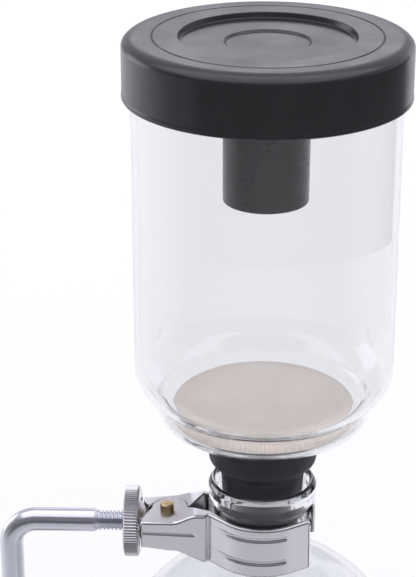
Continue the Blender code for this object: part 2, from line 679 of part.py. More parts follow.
def main():
    clear_scene()
    black = make_material("black_plastic", (0.025, 0.023, 0.026), 0.28)
    glass = make_material("clear_glass", (0.95, 0.96, 0.98), 0.02, alpha=0.25)
    rubber = make_material("black_rubber", (0.02, 0.021, 0.024), 0.55)
    chrome = make_material("chrome", (0.78, 0.77, 0.79), 0.12, 1.0)
    steel = make_material("stainless", (0.62, 0.61, 0.61), 0.3, 1.0)
    brass = make_material("brass", (0.55, 0.42, 0.2), 0.35, 1.0)
    flannel = make_material("flannel", (0.72, 0.66, 0.6), 0.9)
    cotton = make_material("cotton", (0.85, 0.83, 0.78), 0.95)

    hang_on_joint("lid_joint", (0, 0, CHAMBER_RIM), [build_lid(black)])
    upper = [build_chamber(glass), build_stopper(rubber), build_bead_chain(steel), build_chain_hook(steel)]
    hang_on_joint("upper_joint", (0, 0, NECK_TOP), upper)
    filter_pieces = [build_filter_disc(steel), build_filter_cloth(flannel), build_drawstring(cotton)]
    filter_pieces += [build_spring_seat(steel), build_filter_spring(steel)]
    hang_on_joint("filter_joint", (0, 0, DISH_EQUATOR), filter_pieces)
    hang_on_joint("flask_joint", (0, 0, FLASK_CENTRE), [build_flask(glass)])
    hang_on_joint("front_jaw_joint", (PIN_X, 0, ARM_AXIS), [build_front_jaw(chrome)])
    hang_on_joint("rear_jaw_joint", (PIN_X, 0, ARM_AXIS), [build_rear_jaw(chrome)])
    cone = hang_on_joint("cone_joint", (TAIL_X, 0, ARM_AXIS), [build_wedge_cone(steel)])
    nut = hang_on_joint("nut_joint", (TAIL_X, 0, ARM_AXIS), [build_thumb_nut(chrome)])
    nut.parent = cone
    nut.matrix_parent_inverse = Matrix.Translation(-cone.location)
    burner = [build_burner_glass(glass), build_burner_seal(rubber), build_burner_collar(chrome)]
    burner += [build_wick_tube(steel), build_wick(cotton)]
    hang_on_joint("burner_joint", (0, 0, BASE_TOP), burner)
    hang_on_joint("snuffer_joint", (0, 0, 50.7), [build_snuffer(chrome)])
    build_pivot_pin(brass)
    build_support_rod(chrome)
    build_handle(black)
    build_handle_screw(steel)
    build_base_plate(chrome)
    build_base_pad(rubber)
    build_rod_washer(steel)
    build_rod_nut(steel)


main()
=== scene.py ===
"""Siphon coffee maker: the looks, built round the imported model.

Lengths are millimetres in the part's own frame and become metres in place(). The flask's axis is Z, the
table is z = 0 and the stand's arm runs along -X.
"""

import json
import math

import bmesh
import bpy
from mathutils import Matrix, Vector

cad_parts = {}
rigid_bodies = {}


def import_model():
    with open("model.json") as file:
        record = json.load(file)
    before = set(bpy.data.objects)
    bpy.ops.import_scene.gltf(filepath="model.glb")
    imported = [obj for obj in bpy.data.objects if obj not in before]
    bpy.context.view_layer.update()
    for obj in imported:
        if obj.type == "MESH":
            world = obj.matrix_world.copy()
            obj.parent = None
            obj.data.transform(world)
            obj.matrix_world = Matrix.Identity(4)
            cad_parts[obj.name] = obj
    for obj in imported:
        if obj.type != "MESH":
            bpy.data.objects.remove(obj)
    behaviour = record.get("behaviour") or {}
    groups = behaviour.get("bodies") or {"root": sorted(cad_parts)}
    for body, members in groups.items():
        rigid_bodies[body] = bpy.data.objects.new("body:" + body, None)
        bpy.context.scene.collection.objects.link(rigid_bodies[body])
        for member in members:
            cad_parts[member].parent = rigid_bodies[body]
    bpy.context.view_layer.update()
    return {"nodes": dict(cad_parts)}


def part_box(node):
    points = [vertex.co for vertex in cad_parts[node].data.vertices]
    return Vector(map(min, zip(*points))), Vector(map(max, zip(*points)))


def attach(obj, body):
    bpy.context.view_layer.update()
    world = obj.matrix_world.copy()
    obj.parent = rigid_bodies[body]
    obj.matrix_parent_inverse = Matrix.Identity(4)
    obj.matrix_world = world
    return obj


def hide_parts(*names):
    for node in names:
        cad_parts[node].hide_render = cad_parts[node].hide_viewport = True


MM = 0.001
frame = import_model()


def node_box(node):
    """Lowest and highest corner of a CAD node, in millimetres."""
    low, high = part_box(node)
    return Vector(low) / MM, Vector(high) / MM


# ---- places, read from the frame

LID_LOW, LID_HIGH = node_box("lid_cap")
TOP = LID_HIGH.z
LID_R = (LID_HIGH.x - LID_LOW.x) / 2
CHAMBER_LOW, CHAMBER_HIGH = node_box("upper_chamber_glass")
CHAMBER_R = (CHAMBER_HIGH.x - CHAMBER_LOW.x) / 2
RIM = CHAMBER_HIGH.z
STEM_END = CHAMBER_LOW.z
FLASK_LOW, FLASK_HIGH = node_box("flask_glass")
FLASK_R = (FLASK_HIGH.x - FLASK_LOW.x) / 2
FLASK_CENTRE = FLASK_LOW.z + FLASK_R
NECK_TOP = FLASK_HIGH.z
JAW_LOW, JAW_HIGH = node_box("front_jaw")
BAND_TOP = JAW_HIGH.z
BAND_BOTTOM = JAW_LOW.z - 0.4
TAIL_X = JAW_LOW.x
PIN_LOW, PIN_HIGH = node_box("pivot_pin")
PIN_X = (PIN_LOW.x + PIN_HIGH.x) / 2
NUT_LOW, NUT_HIGH = node_box("thumb_nut")
NUT_R = (NUT_HIGH.z - NUT_LOW.z) / 2
ARM_AXIS = (NUT_LOW.z + NUT_HIGH.z) / 2
ROD_FOOT = node_box("support_rod")[0]
HANDLE_FOOT = node_box("handle_grip")[0].z
BASE_TOP = node_box("base_plate")[1].z
BURNER_FOOT = node_box("burner_glass")[0].z
CLOTH_TOP = node_box("filter_cloth")[1].z
CONE_LOW, CONE_HIGH = node_box("wedge_cone")

# The rod and its thread.
ROD_R = 4.25
ROD_X = ROD_FOOT.x + ROD_R
THREAD_R = 3.75
THREAD_HOLE_R = 4.05
THREAD_PITCH = 1.4
SHOULDER_X = -59.8
THREAD_END_X = -43.4
ROD_TIP_X = PIN_X + 4.6

# The neck and the clamp's pressed sheet. Where the jaws overlap, the rear one lies NEST inside the front one.
NECK_R = 17.2
BAND_R = 19.1
SHEET = 1.0
FOLD_R = 1.0
RIM_WIDTH = 1.45
JAW_HALF_WIDTH = 9.7
ARM_TOP = 201.9
ARM_BOTTOM = 191.4
ARM_END = -20.0
CREASE_X = -19.3
CREASE_Y = 8.1
LUG_R = 8.3
NEST = 1.3


# ---- mesh tools


def place(name, bm, body, surface, nodes=(), smooth=38.0):
    """Makes a bmesh in millimetres into a piece that rides on a body and stands for CAD nodes."""
    bmesh.ops.scale(bm, vec=Vector((MM, MM, MM)), verts=bm.verts)
    bmesh.ops.recalc_face_normals(bm, faces=bm.faces)
    mesh = bpy.data.meshes.new(name)
    bm.to_mesh(mesh)
    bm.free()
    mesh.shade_smooth()
    mesh.set_sharp_from_angle(angle=math.radians(smooth))
    mesh.materials.append(surface)
    piece = bpy.data.objects.new(name, mesh)
    bpy.context.scene.collection.objects.link(piece)
    weighted = piece.modifiers.new("flat_faces", "WEIGHTED_NORMAL")
    weighted.keep_sharp = True
    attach(piece, body)
    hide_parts(*nodes)
    return piece


def rounded(corners, steps=6, closed=True):
    """An outline through (a, b) corners; a third number rounds that corner by that radius."""
    line = []
    count = len(corners)
    for i, corner in enumerate(corners):
        here = Vector(corner[:2])
        at_end = not closed and i in (0, count - 1)
        if len(corner) < 3 or corner[2] == 0 or at_end:
            line.append((here.x, here.y))
            continue
        back = Vector(corners[i - 1][:2]) - here
        ahead = Vector(corners[(i + 1) % count][:2]) - here
        half = back.angle(ahead) / 2
        cut = min(corner[2] / math.tan(half), 0.48 * back.length, 0.48 * ahead.length)
        centre = here + (back.normalized() + ahead.normalized()).normalized() * cut / math.cos(half)
        start = here + back.normalized() * cut - centre
        end = here + ahead.normalized() * cut - centre
        turn = math.atan2(start.cross(end), start.dot(end))
        for k in range(steps + 1):
            point = centre + Matrix.Rotation(turn * k / steps, 2) @ start
            line.append((point.x, point.y))
    return line


def arc(radius, start, end, steps, centre=(0.0, 0.0)):
    """Points on a circle from start to end degrees, both included."""
    points = []
    for i in range(steps + 1):
        angle = math.radians(start + (end - start) * i / steps)
        points.append((centre[0] + radius * math.cos(angle), centre[1] + radius * math.sin(angle)))
    return points


def ellipse_down(width, depth, centre_z, start, end, steps):
    """Points on an ellipse, from start to end degrees below its equator, both included."""
    points = []
    for i in range(steps + 1):
        angle = math.radians(start + (end - start) * i / steps)
        points.append((width * math.cos(angle), centre_z - depth * math.sin(angle)))
    return points


def bridge(bm, rings):
    """Quads between neighbouring rings of vertices; a ring of one vertex is a point on the axis."""
    for lower, upper in zip(rings, rings[1:]):
        count = max(len(lower), len(upper))
        for i in range(count):
            j = (i + 1) % count
            below = [lower[i % len(lower)], lower[j % len(lower)]]
            above = [upper[j % len(upper)], upper[i % len(upper)]]
            unique = list(dict.fromkeys(below + above))
            if len(unique) > 2:
                bm.faces.new(unique)


def close_up(bm, rings):
    """Skins rings of vertices into a closed body, with a flat face at each end."""
    bridge(bm, rings)
    bm.faces.new(rings[0])
    bm.faces.new(rings[-1])
    return bm


def lathe(profile, segments=128, centre=(0.0, 0.0), wobble=None):
    """Solid of revolution about Z from (radius, z) points. wobble(angle, radius, z) gives a new radius."""
    bm = bmesh.new()
    rings = []
    for radius, z in profile:
        if radius < 1e-6:
            rings.append([bm.verts.new((centre[0], centre[1], z))])
            continue
        ring = []
        for i in range(segments):
            angle = 2 * math.pi * i / segments
            r = wobble(angle, radius, z) if wobble else radius
            ring.append(bm.verts.new((centre[0] + r * math.cos(angle), centre[1] + r * math.sin(angle), z)))
        rings.append(ring)
    if len(rings[0]) > 1:
        rings.append(rings[0])
    bridge(bm, rings)
    return bm


def onto_x(bm, x, z):
    """Carries a shape turned about Z onto a line along X: its +Z becomes +X."""
    bmesh.ops.transform(bm, matrix=Matrix.Rotation(math.radians(90), 4, "Y"), verts=bm.verts)
    bmesh.ops.translate(bm, vec=Vector((x, 0, z)), verts=bm.verts)
    return bm


def join(bm, other):
    """Adds another bmesh to the first."""
    spare = bpy.data.meshes.new("spare")
    other.to_mesh(spare)
    other.free()
    bm.from_mesh(spare)
    bpy.data.meshes.remove(spare)
    return bm


def tube_along(points, radius, sides):
    """A round wire through a list of points."""
    bm = bmesh.new()
    rings = []
    side = None
    for i, here in enumerate(points):
        ahead = (points[min(i + 1, len(points) - 1)] - points[max(i - 1, 0)]).normalized()
        if side is None:
            side = ahead.orthogonal().normalized()
        side = (side - ahead * side.dot(ahead)).normalized()
        other = ahead.cross(side)
        ring = []
        for k in range(sides):
            angle = 2 * math.pi * k / sides
            ring.append(bm.verts.new(here + radius * (math.cos(angle) * side + math.sin(angle) * other)))
        rings.append(ring)
    return close_up(bm, rings)


def smooth_line(points, steps):
    """A Catmull-Rom curve through 3-D points."""
    line = []
    padded = [points[0] * 2 - points[1]] + list(points) + [points[-1] * 2 - points[-2]]
    for a, b, c, d in zip(padded, padded[1:], padded[2:], padded[3:]):
        for k in range(steps):
            t = k / steps
            twice = 2 * b + (c - a) * t
            twice += (2 * a - 5 * b + 4 * c - d) * t * t
            twice += (3 * b - a - 3 * c + d) * t ** 3
            line.append(0.5 * twice)
    line.append(points[-1])
    return line


def between(x, points):
    """Straight-line reading of a table of (x, value) pairs in rising x."""
    if x <= points[0][0]:
        return points[0][1]
    for (x0, v0), (x1, v1) in zip(points, points[1:]):
        if x <= x1:
            return v0 + (v1 - v0) * (x - x0) / (x1 - x0)
    return points[-1][1]


def eased(x, start, end, low, high):
    """Smooth step from low at x = start to high at x = end."""
    share = max(0.0, min(1.0, (x - start) / (end - start)))
    share = share * share * (3 - 2 * share)
    return low + (high - low) * share


# ---- materials


class Surface:
    """A Principled material with a few helpers for its procedural detail."""

    def __init__(self, name, colour, roughness, metallic=0.0, ior=1.5):
        self.material = bpy.data.materials.new(name)
        self.material.use_nodes = True
        self.nodes = self.material.node_tree.nodes
        self.links = self.material.node_tree.links
        self.shader = self.nodes["Principled BSDF"]
        self.set("Base Color", (*colour, 1.0))
        self.set("Roughness", roughness)
        self.set("Metallic", metallic)
        self.set("IOR", ior)
        self.place = self.nodes.new("ShaderNodeTexCoord").outputs["Object"]

    def set(self, socket, value):
        self.shader.inputs[socket].default_value = value

    def mapped(self, scale=(1, 1, 1), turn=(0, 0, 0)):
        mapping = self.nodes.new("ShaderNodeMapping")
        mapping.inputs["Scale"].default_value = scale
        mapping.inputs["Rotation"].default_value = turn
        self.links.new(self.place, mapping.inputs["Vector"])
        return mapping.outputs["Vector"]

    def noise(self, scale, detail=3.0, vector=None, distortion=0.0):
        node = self.nodes.new("ShaderNodeTexNoise")
        node.inputs["Scale"].default_value = scale
        node.inputs["Detail"].default_value = detail
        node.inputs["Distortion"].default_value = distortion
        self.links.new(vector or self.place, node.inputs["Vector"])
        return node.outputs["Fac"]

    def wave(self, scale, vector, direction="X", distortion=0.0):
        node = self.nodes.new("ShaderNodeTexWave")
        node.bands_direction = direction
        node.inputs["Scale"].default_value = scale
        node.inputs["Distortion"].default_value = distortion
        self.links.new(vector, node.inputs["Vector"])
        return node.outputs["Fac"]

    def ranged(self, value, low, high, from_low=0.0, from_high=1.0):
        node = self.nodes.new("ShaderNodeMapRange")
        node.inputs["From Min"].default_value = from_low
        node.inputs["From Max"].default_value = from_high
        node.inputs["To Min"].default_value = low
        node.inputs["To Max"].default_value = high
        self.links.new(value, node.inputs["Value"])
        return node.outputs["Result"]

    def maths(self, operation, a, b):
        node = self.nodes.new("ShaderNodeMath")
        node.operation = operation
        for socket, value in zip(node.inputs, (a, b)):
            if isinstance(value, (int, float)):
                socket.default_value = value
            else:
                self.links.new(value, socket)
        return node.outputs["Value"]

    def colours(self, value, low, high):
        node = self.nodes.new("ShaderNodeMix")
        node.data_type = "RGBA"
        node.inputs["A"].default_value = (*low, 1.0)
        node.inputs["B"].default_value = (*high, 1.0)
        self.links.new(value, node.inputs["Factor"])
        self.links.new(node.outputs["Result"], self.shader.inputs["Base Color"])

    def roughness(self, value):
        self.links.new(value, self.shader.inputs["Roughness"])

    def bump(self, height, distance):
        """distance is the height in millimetres that a value of 1 stands for."""
        node = self.nodes.new("ShaderNodeBump")
        node.inputs["Strength"].default_value = 1.0
        node.inputs["Distance"].default_value = distance * MM
        self.links.new(height, node.inputs["Height"])
        self.links.new(node.outputs["Normal"], self.shader.inputs["Normal"])


def lid_plastic():
    made = Surface("lid_plastic", (0.011, 0.0105, 0.012), 0.2, ior=1.53)
    patches = made.noise(60.0, 4.0)
    made.roughness(made.ranged(patches, 0.2, 0.3, 0.3, 0.7))
    made.bump(made.noise(900.0, 2.0), 0.012)
    return made.material


def handle_plastic():
    made = Surface("handle_plastic", (0.02, 0.019, 0.02), 0.45)
    made.roughness(made.ranged(made.noise(120.0), 0.38, 0.52, 0.3, 0.7))
    made.bump(made.noise(1600.0, 2.0), 0.05)
    return made.material


def blown_glass(name="blown_glass", colour=(0.907, 0.915, 0.912)):
    made = Surface(name, colour, 0.0, ior=1.47)
    made.set("Specular IOR Level", 0.12)
    made.set("Transmission Weight", 1.0)
    return made.material


def stopper_rubber():
    made = Surface("stopper_rubber", (0.013, 0.014, 0.017), 0.5)
    made.set("Specular IOR Level", 0.36)
    made.roughness(made.ranged(made.noise(150.0, 4.0), 0.42, 0.6, 0.3, 0.7))
    made.bump(made.noise(1300.0, 3.0), 0.02)
    return made.material


def pad_rubber():
    made = Surface("pad_rubber", (0.03, 0.03, 0.032), 0.7)
    made.roughness(made.ranged(made.noise(200.0, 4.0), 0.6, 0.8, 0.3, 0.7))
    made.bump(made.noise(900.0, 3.0), 0.05)
    return made.material


def plated_steel(name="plated_steel", colour=(0.715, 0.7, 0.72), low=0.15, high=0.26):
    """Polished plating: faint smears and fine polishing lines change how sharply it mirrors."""
    made = Surface(name, colour, 0.14, 1.0)
    smears = made.noise(45.0, 5.0, distortion=0.4)
    lines = made.noise(1.0, 2.0, made.mapped((220, 220, 1500)))
    both = made.maths("ADD", made.maths("MULTIPLY", smears, 0.7), made.maths("MULTIPLY", lines, 0.3))
    made.roughness(made.ranged(both, low, high, 0.35, 0.65))
    made.bump(lines, 0.0012)
    return made.material


def bright_steel():
    return plated_steel("bright_steel", (0.6, 0.59, 0.59), 0.22, 0.36)


def pin_brass():
    made = Surface("pin_brass", (0.5, 0.37, 0.17), 0.35, 1.0)
    tarnish = made.noise(500.0, 5.0)
    made.colours(made.ranged(tarnish, 0.0, 1.0, 0.35, 0.65), (0.48, 0.36, 0.19), (0.74, 0.6, 0.36))
    made.roughness(made.ranged(tarnish, 0.28, 0.5, 0.3, 0.7))
    made.bump(made.noise(1800.0), 0.02)
    return made.material


def flannel():
    """Fine woven filter cloth: two sets of threads, with a soft nap over them."""
    made = Surface("flannel", (0.7, 0.64, 0.6), 0.9)
    diagonal = made.mapped((1, 1, 1.4), (0, 0, math.radians(45)))
    warp = made.wave(300.0, diagonal, "X", 0.4)
    weft = made.wave(300.0, diagonal, "Y", 0.4)
    weave = made.maths("MULTIPLY", warp, weft)
    nap = made.noise(2500.0, 3.0)
    patches = made.noise(45.0, 3.0)
    tone = made.maths("ADD", made.maths("MULTIPLY", weave, 0.45), made.maths("MULTIPLY", patches, 0.6))
    made.colours(made.ranged(tone, 0.0, 1.0, 0.2, 0.75), (0.78, 0.68, 0.62), (0.95, 0.88, 0.82))
    height = made.maths("ADD", weave, made.maths("MULTIPLY", nap, 0.4))
    made.bump(height, 0.12)
    made.set("Sheen Weight", 0.25)
    made.set("Sheen Roughness", 0.5)
    return made.material


def cotton_cord():
    made = Surface("cotton_cord", (0.82, 0.79, 0.72), 0.95)
    strands = made.wave(260.0, made.mapped((1, 1, 1), (math.radians(35), 0, math.radians(20))), "Z", 2.0)
    made.colours(strands, (0.66, 0.62, 0.54), (0.88, 0.86, 0.8))
    made.bump(strands, 0.2)
    return made.material


def floor_surface():
    """White table whose own emission paints light on it: it glows under and behind the object and far in
    front of it, and stays darker just in front of the object.
    """
    made = Surface("floor", (0.45, 0.45, 0.46), 0.6)
    made.set("Specular IOR Level", 0.15)
    made.roughness(made.ranged(made.noise(6.0), 0.55, 0.7))
    split = made.nodes.new("ShaderNodeSeparateXYZ")
    made.links.new(made.place, split.inputs["Vector"])
    # Painted light: the emission strength below rises under and behind the object and far in front of it, as
    # pools of light on the table.
    glow = made.ranged(split.outputs["Y"], 0.0, 0.44, -0.3, 0.12)
    far_glow = made.ranged(split.outputs["Y"], 0.0, 0.21, 0.2, 1.5)
    front_glow = made.ranged(split.outputs["Y"], 0.5, 0.0, -2.6, -1.2)
    behind = made.maths("ADD", glow, far_glow)
    made.links.new(made.maths("ADD", behind, front_glow), made.shader.inputs["Emission Strength"])
    made.set("Emission Color", (1.0, 1.0, 1.03, 1.0))
    return made.material


# ---- lid and upper chamber


def make_lid(surface):
    """Black moulded lid: rounded shoulder, fine groove, two recesses, and the sleeve under its middle."""
    wall, high, skirt, under = LID_R - 0.15, TOP + 0.4, 358.3, TOP - 3.9
    sleeve_r, bore_r, sleeve_end = 14.5, 13.3, 321.9
    top = [(0, high - 2.75), (13.5, high - 2.65, 0.5), (14.4, high - 1.95, 0.4), (28.75, high - 1.9, 0.45)]
    top += [(29.35, high, 0.4), (37.45, high, 0.25), (37.8, high - 0.5, 0.1), (38.15, high, 0.25)]
    side = [(42.4, high)] + [(42.4 + (wall - 42.4) * x, high - 3.0 + 3.0 * z) for x, z in arc(1.0, 80, 0, 8)]
    side += [(wall, 360.2, 0.5), (LID_R, 359.7, 0.4)]
    side += [(LID_R, skirt, 0.5), (45.55, skirt, 0.35), (45.55, TOP - 3.2, 1.2), (31.5, TOP - 3.1, 0.8)]
    sleeve = [(30.5, under, 0.8), (sleeve_r + 0.25, under, 0.8), (sleeve_r, sleeve_end, 0.5)]
    sleeve += [(bore_r, sleeve_end, 0.4), (bore_r, under, 0.5), (0, under)]
    lid = lathe(rounded(top + side + sleeve), 192)
    return place("moulded_lid", lid, "lid", surface, ["lid_cap"], 50)


def make_chamber(glass):
    """One blown glass: cylinder, shoulder, a shallow dish for the filter, and the long stem."""
    wall = 1.8
    stem_r, bore_r = 5.75, 4.55
    dish, dish_depth, equator = 36.8, 10.2, 244.5
    shoulder, shoulder_depth, shoulder_z = CHAMBER_R, 22.8, 262.0
    outer = arc(wall / 2, 90, 0, 5, (CHAMBER_R - wall / 2, RIM - wall / 2))
    outer += [(CHAMBER_R, z) for z in (350.0, 310.0, 280.0)]
    outer += ellipse_down(shoulder, shoulder_depth, shoulder_z, 0, 30, 16)
    outer += rounded([outer[-1], (dish + 0.9, 249.5, 1.4), (dish + 0.1, 248.1, 1.6), (dish, 246.4)], 8, False)
    outer += ellipse_down(dish, dish_depth, equator, 0, 72, 20)
    outer += rounded([outer[-1], (stem_r, 234.0, 3.2), (stem_r, 225.0)], 8, False)[1:]
    outer += [(stem_r, 160.0), (stem_r, STEM_END + 0.5), (5.3, STEM_END), (4.9, STEM_END)]
    inner = [(bore_r, STEM_END + 0.5), (bore_r, 160.0)]
    inner += rounded([(bore_r, 225.0), (bore_r, 236.0, 3.0), (9.0, 236.35)], 8, False)
    inner += ellipse_down(dish - wall, dish_depth - wall, equator, 74, 0, 20)
    inner += rounded([(dish - wall, 247.0), (dish - wall + 0.1, 249.9, 2.2), (dish + 0.3, 251.3)], 8, False)
    inner += ellipse_down(shoulder - wall, shoulder_depth - wall, shoulder_z, 29, 0, 16)
    inner += [(CHAMBER_R - wall, z) for z in (280.0, 310.0, 350.0)]
    inner += arc(wall / 2, 180, 90, 5, (CHAMBER_R - wall / 2, RIM - wall / 2))[:-1]
    piece = lathe(outer + inner, 160)
    return place("blown_chamber", piece, "upper_chamber", glass, ["upper_chamber_glass"], 60)


def make_stopper(rubber):
    """Flange rounded at both edges, a thin seam ring from its mould, and a tapered plug."""
    bore, flange_r, foot = 6.05, 19.1, 197.5
    profile = [(bore, 231.6, 0.3), (7.4, 233.3, 0.5), (9.0, 233.9, 2.0), (18.5, 234.7, 0.9)]
    profile += [(flange_r, 233.6, 0.8), (flange_r, 224.6, 3.2), (16.0, 221.6, 0.8)]
    profile += [(15.2, 221.5, 0.2), (15.35, 221.2, 0.12), (15.0, 220.9, 0.2)]
    profile += [(14.6, 217.0, 2.0), (14.4, 212.8, 2.0), (12.8, foot, 0.9), (bore, foot, 0.5)]
    return place("rubber_stopper", lathe(rounded(profile), 128), "upper_chamber", rubber,
                 ["stem_stopper"], 50)


# ---- filter


def make_filter_disc(steel):
    """Pressed disc with rows of round holes."""
    disc_r, top, thick, edge, hole_r = 30.3, 247.6, 0.8, 243.5, 1.3
    inner_r = disc_r - 0.7
    profile = [(0, top), (28.8, top, 1.4), (disc_r, 246.2, 1.0), (disc_r, edge, 0.3), (inner_r, edge, 0.3)]
    profile += [(inner_r, 246.0, 0.6), (28.6, top - thick, 0.8), (0, top - thick)]
    plate = lathe(rounded(profile), 96)
    disc = place("perforated_disc", plate, "filter", steel, ["filter_disc"], 50)
    punch = [(0, top - 3), (hole_r, top - 3), (hole_r, top + 2), (0, top + 2)]
    holes = bmesh.new()
    for ring_r, count in ((7.5, 6), (13.0, 12), (18.5, 18), (24.0, 24)):
        for i in range(count):
            angle = 2 * math.pi * (i + 0.21) / count
            spot = (ring_r * math.cos(angle), ring_r * math.sin(angle))
            join(holes, lathe(punch, 12, spot))
    bmesh.ops.scale(holes, vec=Vector((MM, MM, MM)), verts=holes.verts)
    mesh = bpy.data.meshes.new("punches")
    holes.to_mesh(mesh)
    holes.free()
    punches = bpy.data.objects.new("punches", mesh)
    bpy.context.scene.collection.objects.link(punches)
    cut = disc.modifiers.new("holes", "BOOLEAN")
    cut.object = punches
    cut.solver = "EXACT"
    while disc.modifiers[0] != cut:
        disc.modifiers.move(disc.modifiers.find("holes"), 0)
    graph = bpy.context.evaluated_depsgraph_get()
    punched = bpy.data.meshes.new_from_object(disc.evaluated_get(graph))
    disc.modifiers.clear()
    disc.data = punched
    punched.name = "perforated_disc"
    bpy.data.objects.remove(punches)
    return disc


def make_cloth(cloth, drawstring):
    """Flannel stretched over the disc and gathered in folds on its drawstring."""
    high, cloth_r, segments, folds = CLOTH_TOP, 32.0, 288, 36
    outline = [(0.0, high), (12.0, high - 0.02), (24.0, high - 0.06), (29.2, high - 0.2, 2.4)]
    outline += [(31.6, high - 1.6, 2.2), (cloth_r, 245.0, 3.0), (31.4, 241.9, 2.4), (29.0, 240.5, 3.0)]
    outline += [(25.5, 240.0), (23.8, 240.2)]
    line = rounded(outline, 6, False)
    bm = bmesh.new()
    rings = [[bm.verts.new((0, 0, high))]]
    for radius, z in line[1:]:
        gather = max(0.0, min(1.0, (241.2 - z) / 1.2))
        slack = 0.015 * max(0.0, min(1.0, (246.6 - z) / 3.0))
        ring = []
        for i in range(segments):
            angle = 2 * math.pi * i / segments
            fold = math.sin(folds * angle + 1.3 * math.sin(5 * angle)) * (0.45 * gather + slack)
            r = min(radius - 0.25 * gather + 0.3 * fold, cloth_r)
            ring.append(bm.verts.new((r * math.cos(angle), r * math.sin(angle), z + 0.6 * fold * gather)))
        rings.append(ring)
    bridge(bm, rings)
    piece = place("flannel_cover", bm, "filter", cloth, ["filter_cloth"], 60)
    piece.modifiers.clear()
    thick = piece.modifiers.new("thickness", "SOLIDIFY")
    thick.thickness = 0.5 * MM
    thick.offset = -1.0
    return piece


def make_drawstring(cotton):
    """Two-strand string laid round the cloth's gathered edge, with its knot."""
    ring_r, height, lay, strand_r, twists, steps = 23.0, 239.75, 0.22, 0.27, 60, 400
    bm = bmesh.new()
    for strand in (0.0, math.pi):
        points = []
        for i in range(steps + 1):
            angle = 2 * math.pi * i / steps
            twist = twists * angle + strand
            r = ring_r + lay * math.cos(twist)
            points.append(Vector((r * math.cos(angle), r * math.sin(angle), height + lay * math.sin(twist))))
        join(bm, tube_along(points, strand_r, 6))
    outline = [(0, -0.9), (0.7, -0.7, 0.3), (0.8, 0.0, 0.3), (0.7, 0.6, 0.3), (0, 0.8)]
    knot = lathe(rounded(outline, 3, False), 12)
    bmesh.ops.translate(knot, vec=Vector((0, ring_r - 0.4, height + 0.15)), verts=knot.verts)
    join(bm, knot)
    return place("twisted_drawstring", bm, "filter", cotton, ["filter_drawstring"], 60)


def make_filter_pull(steel):
    """Spring seat, coil spring, ball chain and hook, down the middle of the stem."""
    seat = [(0, 246.5), (3.2, 246.5, 0.3), (3.2, 245.4, 0.3), (1.3, 244.9, 0.3), (1.3, 241.7, 0.3)]
    seat += [(2.2, 241.3, 0.2), (2.2, 240.3, 0.3), (0, 240.3)]
    place("spring_seat", lathe(rounded(seat, 4), 32), "filter", steel, ["filter_spring_seat"])
    turns, high, low, radius, wire_r, steps = 14, 239.5, 214.2, 2.85, 0.36, 20
    coil = []
    for i in range(turns * steps + 1):
        share = i / (turns * steps)
        angle = 2 * math.pi * turns * share
        coil.append(Vector((radius * math.cos(angle), radius * math.sin(angle), high + (low - high) * share)))
    spring = tube_along(coil, wire_r, 8)
    place("coil_spring", spring, "upper_chamber", steel, ["filter_spring"], 60)
    chain_top, chain_end, pitch, ball_r, link_r = 213.2, 93.4, 3.0, 1.2, 0.3
    profile = [(0, chain_top)]
    count = int((chain_top - chain_end) / pitch)
    for i in range(count):
        middle = chain_top - pitch * (i + 0.5)
        profile += [(max(link_r, r), z) for r, z in arc(ball_r, 75, -75, 6, (0, middle))]
    profile += [(0, chain_top - pitch * count)]
    place("ball_chain", lathe(profile, 12), "upper_chamber", steel, ["filter_ball_chain"], 60)
    under, grip, hook_wire_r = STEM_END - 1.2, 6.65, 0.48
    path = [(0, 93.0), (0, 88.0), (0.7, under + 1.6), (2.6, under + 0.1)]
    path += [(grip - 1.2, under), (grip - 0.1, under + 1.1), (grip, under + 6.0)]
    hook = tube_along(smooth_line([Vector((x, 0, z)) for x, z in path], 8), hook_wire_r, 12)
    place("wire_hook", hook, "upper_chamber", steel, ["chain_hook"], 60)


# ---- flask and clamp


def make_flask(glass):
    """Blown round flask, a little flattened below, with a rolled lip."""
    wall, rim, lip_r, centre = 1.9, NECK_TOP - 1.2, 19.25, (0, FLASK_CENTRE)
    ball_r, inner_neck = FLASK_R - wall, NECK_R - wall
    outer = [(0, FLASK_LOW.z + 0.2)] + arc(FLASK_R, -86, 70, 64, centre)
    neck = [outer[-1], (NECK_R, 184.9, 4.5), (NECK_R, 206.4, 3.0), (lip_r, 209.6, 3.0)]
    neck += [(lip_r, rim - 1.7, 1.6), (18.3, rim, 1.3), (17.1, rim, 0.9), (16.4, rim - 1.6, 1.5)]
    neck = rounded(neck, 10, False)[1:]
    inner = [neck[-1], (inner_neck, rim - 6.0, 3.0), (inner_neck, 184.4, 4.0)]
    inner = rounded(inner + arc(ball_r, 71.5, 71.5, 1, centre)[:1], 10, False)[1:]
    inner += arc(ball_r, 70, -86, 64, centre)[1:] + [(0, FLASK_LOW.z + wall)]
    flask = lathe(outer + neck + inner, 160)
    return place("blown_flask", flask, "stand", glass, ["flask_glass"], 60)


def strip_section(station, grooves):
    """Cross-section of a pressed jaw at one station: top flange, fold, wall, fold, bottom flange.
    Each point is (distance in from the wall's face, height)."""
    top, bottom, surface = station["top"], station["bottom"], station["surface"]
    flange_steps, fold_steps, wall_steps = 10, 6, 44
    points = []
    for k in range(flange_steps):
        depth = station["top_width"] + (FOLD_R - station["top_width"]) * k / flange_steps
        points.append((depth, surface(depth)))
    lift = surface(FOLD_R) - top
    for u, z in arc(FOLD_R, 90, 180, fold_steps, (0, top - FOLD_R)):
        points.append((FOLD_R + u, z + lift * (1 + u / FOLD_R)))
    wall_high, wall_low = top - FOLD_R, bottom + FOLD_R
    for k in range(1, wall_steps):
        z = wall_high + (wall_low - wall_high) * k / wall_steps
        depth = sum(groove(station["s"], z) for groove in grooves)
        points.append((depth, z))
    points += [(FOLD_R + u, z) for u, z in arc(FOLD_R, 180, 270, fold_steps, (0, bottom + FOLD_R))]
    for k in range(1, flange_steps + 1):
        share = k / flange_steps
        points.append((FOLD_R + (station["bottom_width"] - FOLD_R) * share, bottom))
    return points


